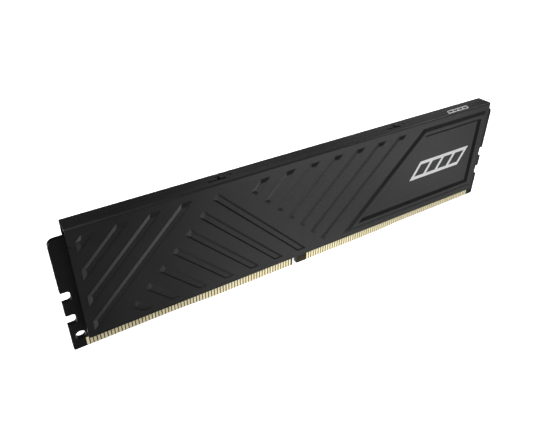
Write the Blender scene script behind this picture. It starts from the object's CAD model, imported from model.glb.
"""The memory module's visual model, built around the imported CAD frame.

Lengths below are in millimetres unless a name says otherwise, and MM turns them into metres.
"""

import math

import bmesh
import bpy
from mathutils import Matrix, Vector


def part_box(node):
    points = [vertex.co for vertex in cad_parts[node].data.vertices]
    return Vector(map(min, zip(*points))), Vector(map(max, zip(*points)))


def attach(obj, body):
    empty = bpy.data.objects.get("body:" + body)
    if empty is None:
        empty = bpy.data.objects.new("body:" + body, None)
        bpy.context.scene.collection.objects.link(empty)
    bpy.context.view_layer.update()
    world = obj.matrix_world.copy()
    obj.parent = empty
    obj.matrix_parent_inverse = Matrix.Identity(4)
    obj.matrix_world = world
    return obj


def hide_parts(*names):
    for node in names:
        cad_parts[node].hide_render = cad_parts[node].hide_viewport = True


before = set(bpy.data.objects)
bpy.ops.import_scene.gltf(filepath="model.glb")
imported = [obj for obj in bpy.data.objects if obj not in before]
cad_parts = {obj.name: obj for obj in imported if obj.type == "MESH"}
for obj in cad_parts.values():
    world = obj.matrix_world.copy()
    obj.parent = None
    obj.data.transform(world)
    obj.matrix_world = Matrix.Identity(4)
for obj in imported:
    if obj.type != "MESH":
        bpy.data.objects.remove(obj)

MM = 0.001

# Camera. Its turns, in degrees, are about the world's up, its own right and then its own up.
CAMERA_LENS = 35.569
CAMERA_SENSOR_WIDTH = 36.0
CAMERA_SHIFT = (0.02715, -0.05881)
CAMERA_PLACE = (-73.836, -94.584, 95.187)
CAMERA_TURNS = (31.2338, 31.7153, -0.6779)
CAMERA_NEAREST = 5.0
CAMERA_FARTHEST = 50000.0

# Edge contacts.
CONTACT_PITCH = 0.85
CONTACT_WIDTH = 0.6
CONTACT_TIP_GAP = 0.12
CONTACT_TOP = 3.0
CONTACT_ROUND = 0.02
EDGE_STEP = 0.5
EDGE_RAMP_STARTS = (-30.175, 24.225)
EDGE_RAMP_LENGTH = 10.2

# The bare strip of the board, which the contacts stand on.
BARE_TOP = 3.2
BARE_REACH = 63.4

# Rounding of folded and stamped edges.
SPREADER_ROUND = 0.2
BOARD_ROUND = 0.06
WELD_REACH = 0.002

# White surround: half the floor's width, and the dome's radius.
STAGE_HALF = 6000.0

# Even light from all sides.
FILL_LIGHT = 0.05

# Soft square panels round the module. Each row is a name, the panels' azimuths in degrees, their
# elevation in degrees and the power of each panel in watts. Azimuth 0 is +X and 270 is the front.
PANEL_SIZE = 160.0
PANEL_DISTANCE = 500.0
PANEL_TARGET = (0.0, 0.0, 17.0)
PANEL_ROWS = (
    ("floor_bounce", (300,), -65, 0.08),
    ("front_bounce", (300,), -40, 0.12),
    ("front_left_bounce", (280,), -40, 0.04),
    ("front_right_bounce", (320,), -40, 0.08),
    ("left_bounce", (228,), -40, 0.24),
    ("front_low", (300,), -20, 0.24),
    ("front_right_low", (320,), -20, 0.16),
    ("front_left", (252,), 0, 0.28),
    ("right_edge", (340,), 0, 0.08),
    ("left", (220,), 20, 0.36),
    ("front_left_upper", (246,), 30, 0.1),
    ("upper", (220, 340), 40, 0.64),
    ("top", (240,), 60, 2.2),
    ("rear_bounce", (65, 115), -42, 0.25),
    ("rear_low", (45, 135), -18, 0.35),
    ("rear_low_middle", (90,), -18, 0.3),
    ("rear_edge", (40,), 20, 0.04),
    ("rear_upper", (60,), 40, 0.06),
)

# Places of the colour sockets on a Mix node.
MIX_FIRST = 6
MIX_SECOND = 7
MIX_RESULT = 2


# ---------------------------------------------------------------- material helpers


class Look:
    """Builds one node material around a Principled shader."""

    def __init__(self, name):
        self.material = bpy.data.materials.new(name)
        self.material.use_nodes = True
        self.tree = self.material.node_tree
        self.shader = self.tree.nodes["Principled BSDF"]
        self.place = self.node("ShaderNodeTexCoord").outputs["Object"]

    def node(self, kind, **settings):
        made = self.tree.nodes.new(kind)
        for key, value in settings.items():
            setattr(made, key, value)
        return made

    def link(self, source, target):
        self.tree.links.new(source, target)

    def put(self, target, value):
        if isinstance(value, bpy.types.NodeSocket):
            self.link(value, target)
        elif isinstance(value, tuple):
            target.default_value = (*value, 1.0)
        else:
            target.default_value = value

    def math(self, operation, first, second=0.0):
        made = self.node("ShaderNodeMath", operation=operation)
        self.put(made.inputs[0], first)
        self.put(made.inputs[1], second)
        return made.outputs[0]

    def axis(self, name):
        made = self.node("ShaderNodeSeparateXYZ")
        self.link(self.place, made.inputs[0])
        return made.outputs[name]

    def noise(self, size_mm, detail=2.0, roughness=0.5):
        made = self.node("ShaderNodeTexNoise")
        self.link(self.place, made.inputs["Vector"])
        made.inputs["Scale"].default_value = 1.0 / (size_mm * MM)
        made.inputs["Detail"].default_value = detail
        made.inputs["Roughness"].default_value = roughness
        return made.outputs["Fac"]

    def spread(self, value, low, high):
        """Maps the middle of a noise's range, where nearly all of it lies, onto low to high."""
        made = self.node("ShaderNodeMapRange")
        self.link(value, made.inputs["Value"])
        made.inputs["From Min"].default_value = 0.3
        made.inputs["From Max"].default_value = 0.7
        made.inputs["To Min"].default_value = low
        made.inputs["To Max"].default_value = high
        return made.outputs["Result"]

    def mix(self, share, first, second):
        made = self.node("ShaderNodeMix", data_type="RGBA")
        self.put(made.inputs["Factor"], share)
        self.put(made.inputs[MIX_FIRST], first)
        self.put(made.inputs[MIX_SECOND], second)
        return made.outputs[MIX_RESULT]

    def bump(self, height, depth_mm, strength):
        made = self.node("ShaderNodeBump")
        made.inputs["Strength"].default_value = strength
        made.inputs["Distance"].default_value = depth_mm * MM
        self.link(height, made.inputs["Height"])
        self.link(made.outputs["Normal"], self.shader.inputs["Normal"])

    def surface(self, color, roughness, metallic=0.0, specular=0.5):
        self.put(self.shader.inputs["Base Color"], color)
        self.put(self.shader.inputs["Roughness"], roughness)
        self.shader.inputs["Metallic"].default_value = metallic
        self.shader.inputs["Specular IOR Level"].default_value = specular
        return self.material


def spreader_look():
    """Fine matt black coating over stamped aluminium."""
    look = Look("spreader_coat")
    cloud = look.noise(9.0, 3.0)
    grain = look.noise(0.16, 3.0, 0.6)
    color = look.mix(look.spread(cloud, 0.0, 1.0), (0.0078, 0.0078, 0.0080), (0.0098, 0.0098, 0.0100))
    look.bump(grain, 0.012, 0.5)
    return look.surface(color, look.spread(grain, 0.25, 0.31), specular=0.21)


def board_look():
    """Black solder mask, with bare olive glass epoxy around the contacts and in the key slot."""
    look = Look("board_mask")
    reach = look.math("ABSOLUTE", look.axis("X"))
    inside = look.math("LESS_THAN", reach, BARE_REACH * MM)
    low = look.math("LESS_THAN", look.axis("Z"), BARE_TOP * MM)
    weave = look.noise(0.35, 3.0)
    fibre = look.mix(look.spread(weave, 0.0, 1.0), (0.026, 0.019, 0.006), (0.046, 0.034, 0.011))
    cloud = look.noise(4.0)
    mask = look.mix(look.spread(cloud, 0.0, 1.0), (0.0022, 0.0022, 0.0023), (0.0036, 0.0037, 0.0038))
    color = look.mix(look.math("MULTIPLY", inside, low), mask, fibre)
    look.bump(look.noise(0.25, 2.0), 0.006, 0.4)
    return look.surface(color, look.spread(weave, 0.38, 0.5), specular=0.15)


def gold_look():
    """Hard gold plating, a little different from contact to contact."""
    look = Look("contact_gold")
    cell = look.math("FLOOR", look.math("DIVIDE", look.axis("X"), CONTACT_PITCH * MM))
    chance = look.node("ShaderNodeTexWhiteNoise", noise_dimensions="1D")
    look.link(cell, chance.inputs["W"])
    tint = look.mix(chance.outputs["Value"], (0.92, 0.78, 0.42), (0.98, 0.88, 0.56))
    scuff = look.noise(0.5, 4.0, 0.65)
    color = look.mix(look.spread(scuff, 0.0, 0.5), tint, (1.0, 0.95, 0.76))
    look.bump(look.noise(0.08, 2.0), 0.003, 0.4)
    return look.surface(color, look.spread(scuff, 0.26, 0.36), metallic=0.6)


def plain_look(name, dark, light, size_mm, rough, bump_mm):
    """A moulded, printed or glazed surface: two close tones with a matching grain."""
    look = Look(name)
    grain = look.noise(size_mm, 4.0, 0.6)
    color = look.mix(look.spread(grain, 0.0, 1.0), dark, light)
    look.bump(grain, bump_mm, 0.5)
    return look.surface(color, look.spread(grain, *rough))


# ---------------------------------------------------------------- pieces


def dress(name, look):
    """Gives a CAD node its finished material."""
    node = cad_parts[name]
    for slot in node.material_slots:
        slot.material = look


def smooth_shading():
    """Nodes for a modifier that shades every face smooth, so that a CAD mesh itself isn't changed."""
    group = bpy.data.node_groups.new("smooth_shading", "GeometryNodeTree")
    for direction in ("INPUT", "OUTPUT"):
        group.interface.new_socket("Geometry", in_out=direction, socket_type="NodeSocketGeometry")
    start = group.nodes.new("NodeGroupInput")
    smooth = group.nodes.new("GeometryNodeSetShadeSmooth")
    end = group.nodes.new("NodeGroupOutput")
    group.links.new(start.outputs["Geometry"], smooth.inputs["Geometry"])
    group.links.new(smooth.outputs["Geometry"], end.inputs["Geometry"])
    return group


def soften(name, width, segments, angle_deg, shading):
    """Rounds the sharp edges of a CAD node with modifiers only."""
    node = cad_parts[name]
    weld = node.modifiers.new("weld", "WELD")
    weld.merge_threshold = WELD_REACH * MM
    bevel = node.modifiers.new("bevel", "BEVEL")
    bevel.width = width * MM
    bevel.segments = segments
    bevel.limit_method = "ANGLE"
    bevel.angle_limit = math.radians(angle_deg)
    node.modifiers.new("shading", "NODES").node_group = shading
    keep = node.modifiers.new("flat_faces", "WEIGHTED_NORMAL")
    keep.keep_sharp = True


def board_edge(x):
    """Height in millimetres of the board's lower edge at x, also in millimetres."""
    for start in EDGE_RAMP_STARTS:
        share = (x - start) / math.copysign(EDGE_RAMP_LENGTH, start)
        if share > 0:
            return EDGE_STEP * min(1.0, share)
    return 0.0


def contact_strip(name, cad_node):
    """One row of separate plated contacts in the place of a CAD comb."""
    low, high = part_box(cad_node)
    count = round((high.x - low.x - CONTACT_WIDTH * MM) / (CONTACT_PITCH * MM)) + 1
    top = CONTACT_TOP * MM
    mesh = bmesh.new()
    for index in range(count):
        left = low.x + index * CONTACT_PITCH * MM
        right = left + CONTACT_WIDTH * MM
        feet = [(board_edge(x / MM) + CONTACT_TIP_GAP) * MM for x in (left, right)]
        corners = []
        for y in (low.y, high.y):
            ring = ((left, y, feet[0]), (right, y, feet[1]), (right, y, top), (left, y, top))
            corners.append([mesh.verts.new(point) for point in ring])
        mesh.faces.new(corners[0])
        mesh.faces.new(reversed(corners[1]))
        for a in range(4):
            b = (a + 1) % 4
            mesh.faces.new((corners[0][b], corners[0][a], corners[1][a], corners[1][b]))
    bmesh.ops.recalc_face_normals(mesh, faces=mesh.faces)
    data = bpy.data.meshes.new(name)
    mesh.to_mesh(data)
    mesh.free()
    piece = bpy.data.objects.new(name, data)
    bpy.context.scene.collection.objects.link(piece)
    bevel = piece.modifiers.new("bevel", "BEVEL")
    bevel.width = CONTACT_ROUND * MM
    bevel.segments = 2
    return piece


# ---------------------------------------------------------------- stage


def camera():
    """The scene's camera, at the photograph's viewing angle."""
    swing, tilt, pan = (math.radians(angle) for angle in CAMERA_TURNS)
    view = Matrix.Rotation(pan, 3, "Z") @ Matrix.Rotation(tilt, 3, "X") @ Matrix.Rotation(swing, 3, "Z")
    right, forward, up = view
    axes = Matrix((right, up, -forward)).transposed()
    data = bpy.data.cameras.new("camera")
    data.sensor_width = CAMERA_SENSOR_WIDTH
    data.lens = CAMERA_LENS
    data.shift_x, data.shift_y = CAMERA_SHIFT
    data.clip_start = CAMERA_NEAREST * MM
    data.clip_end = CAMERA_FARTHEST * MM
    made = bpy.data.objects.new("camera", data)
    made.matrix_world = Matrix.Translation(Vector(CAMERA_PLACE) * MM) @ axes.to_4x4()
    bpy.context.scene.collection.objects.link(made)
    bpy.context.scene.camera = made


def soft_panel(name, azimuth_deg, elevation_deg, power):
    """A square soft panel that faces the module."""
    azimuth = math.radians(azimuth_deg)
    elevation = math.radians(elevation_deg)
    level = math.cos(elevation)
    outwards = Vector((math.cos(azimuth) * level, math.sin(azimuth) * level, math.sin(elevation)))
    data = bpy.data.lights.new(name, "AREA")
    data.shape = "SQUARE"
    data.size = PANEL_SIZE * MM
    data.energy = power
    made = bpy.data.objects.new(name, data)
    made.location = (Vector(PANEL_TARGET) + outwards * PANEL_DISTANCE) * MM
    made.rotation_euler = outwards.to_track_quat("Z", "Y").to_euler()
    made.visible_camera = False
    bpy.context.scene.collection.objects.link(made)


def studio():
    """A faint even light, and the rows of soft panels."""
    scene = bpy.context.scene
    scene.view_settings.view_transform = "Standard"
    world = bpy.data.worlds.new("studio")
    world.use_nodes = True
    background = world.node_tree.nodes["Background"]
    background.inputs["Color"].default_value = (1.0, 1.0, 1.0, 1.0)
    background.inputs["Strength"].default_value = FILL_LIGHT
    scene.world = world
    for name, azimuths, elevation, power in PANEL_ROWS:
        for azimuth in azimuths:
            soft_panel(f"{name}_{azimuth}", azimuth, elevation, power)


def stage_piece(name, mesh, look):
    """Adds part of the white surround, which the camera sees and the module doesn't reflect."""
    data = bpy.data.meshes.new(name)
    mesh.to_mesh(data)
    mesh.free()
    data.materials.append(look)
    piece = bpy.data.objects.new(name, data)
    bpy.context.scene.collection.objects.link(piece)
    piece.visible_diffuse = False
    piece.visible_glossy = False
    piece.visible_shadow = False


def surround():
    """A pale floor and a dome over it, both evenly white."""
    look = Look("surround_white")
    look.surface((0.9, 0.9, 0.9), 0.9)
    look.shader.inputs["Emission Color"].default_value = (1.0, 1.0, 1.0, 1.0)
    look.shader.inputs["Emission Strength"].default_value = 1.0
    mesh = bmesh.new()
    bmesh.ops.create_grid(mesh, x_segments=2, y_segments=2, size=STAGE_HALF * MM)
    stage_piece("floor", mesh, look.material)
    mesh = bmesh.new()
    bmesh.ops.create_uvsphere(mesh, u_segments=48, v_segments=24, radius=STAGE_HALF * MM)
    stage_piece("dome", mesh, look.material)


# ---------------------------------------------------------------- the scene


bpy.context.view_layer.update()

shading = smooth_shading()
spreader = spreader_look()
for side in ("front", "rear"):
    dress(f"{side}_spreader", spreader)
    soften(f"{side}_spreader", SPREADER_ROUND, segments=3, angle_deg=20, shading=shading)

dress("circuit_board", board_look())
soften("circuit_board", BOARD_ROUND, segments=2, angle_deg=50, shading=shading)

gold = gold_look()
for side in ("front", "rear"):
    for group in ("left", "right"):
        strip = contact_strip(f"{side}_gold_{group}", f"{side}_contacts_{group}")
        strip.data.materials.append(gold)
        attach(strip, "root")
        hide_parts(f"{side}_contacts_{group}")

white = plain_look(
    "emblem_print",
    dark=(0.57, 0.57, 0.57),
    light=(0.62, 0.62, 0.62),
    size_mm=0.4,
    rough=(0.42, 0.55),
    bump_mm=0.004,
)
dress("badge_emblem", white)
dress("top_emblem", white)

film = plain_look(
    "label_film",
    dark=(0.50, 0.50, 0.52),
    light=(0.58, 0.58, 0.60),
    size_mm=1.2,
    rough=(0.4, 0.5),
    bump_mm=0.004,
)
dress("blank_label", film)

tape = plain_look(
    "tape_grey",
    dark=(0.36, 0.38, 0.40),
    light=(0.44, 0.46, 0.48),
    size_mm=0.5,
    rough=(0.7, 0.85),
    bump_mm=0.02,
)
chip = plain_look(
    "chip_epoxy",
    dark=(0.020, 0.020, 0.021),
    light=(0.030, 0.030, 0.031),
    size_mm=0.12,
    rough=(0.5, 0.65),
    bump_mm=0.01,
)
resistor = plain_look(
    "resistor_glaze",
    dark=(0.06, 0.06, 0.065),
    light=(0.10, 0.10, 0.11),
    size_mm=0.3,
    rough=(0.3, 0.45),
    bump_mm=0.004,
)
capacitor = plain_look(
    "capacitor_ceramic",
    dark=(0.38, 0.26, 0.15),
    light=(0.47, 0.34, 0.21),
    size_mm=0.3,
    rough=(0.4, 0.55),
    bump_mm=0.004,
)
inner_looks = {"thermal_tape": tape, "chip": chip, "resistor": resistor, "capacitor": capacitor}
for node_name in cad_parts:
    for part_of_name, look in inner_looks.items():
        if part_of_name in node_name:
            dress(node_name, look)

surround()
studio()
camera()
